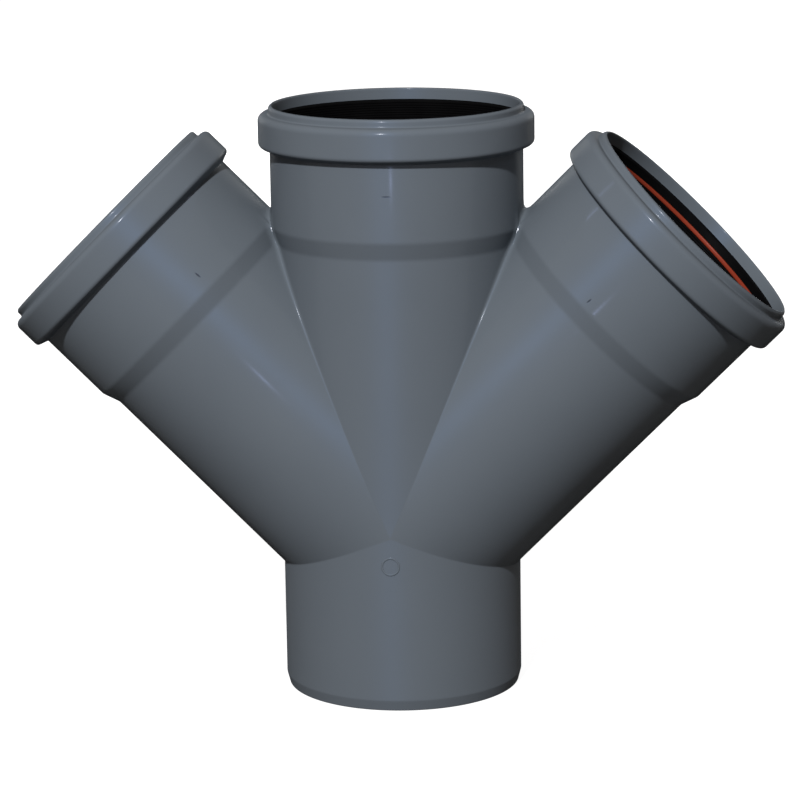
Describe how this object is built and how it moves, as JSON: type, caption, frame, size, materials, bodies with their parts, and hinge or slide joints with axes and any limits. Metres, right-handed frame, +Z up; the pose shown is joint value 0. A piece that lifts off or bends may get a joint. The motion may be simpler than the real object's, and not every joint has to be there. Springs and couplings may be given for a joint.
{
  "type": "pipe cross",
  "caption": "Drain pipe double branch: a straight run with two side branches at 45 degrees, ring-seal sockets on three ends and a plain spigot below.",
  "frame": {"origin": "centre of the spigot's end face, which is the lowest face of the part", "axes": "+Z up the straight run towards its socket, +X towards the right-hand branch, -Y towards the side with the small moulded ring"},
  "size_m": [0.3528, 0.1258, 0.271],
  "materials": {
    "grey_plastic": "injection-moulded polypropylene, slate grey, smooth with a soft gloss",
    "black_rubber": "black rubber with fine moulded ribs, semi-matt",
    "orange_red_plastic": "orange-red moulded plastic, satin"
  },
  "bodies": {
    "root": {"fitting_body": "grey_plastic", "top_seal": "black_rubber", "left_seal": "black_rubber", "right_seal": "black_rubber", "left_spacer_ring": "orange_red_plastic", "right_spacer_ring": "orange_red_plastic"}
  },
  "joints": []
}
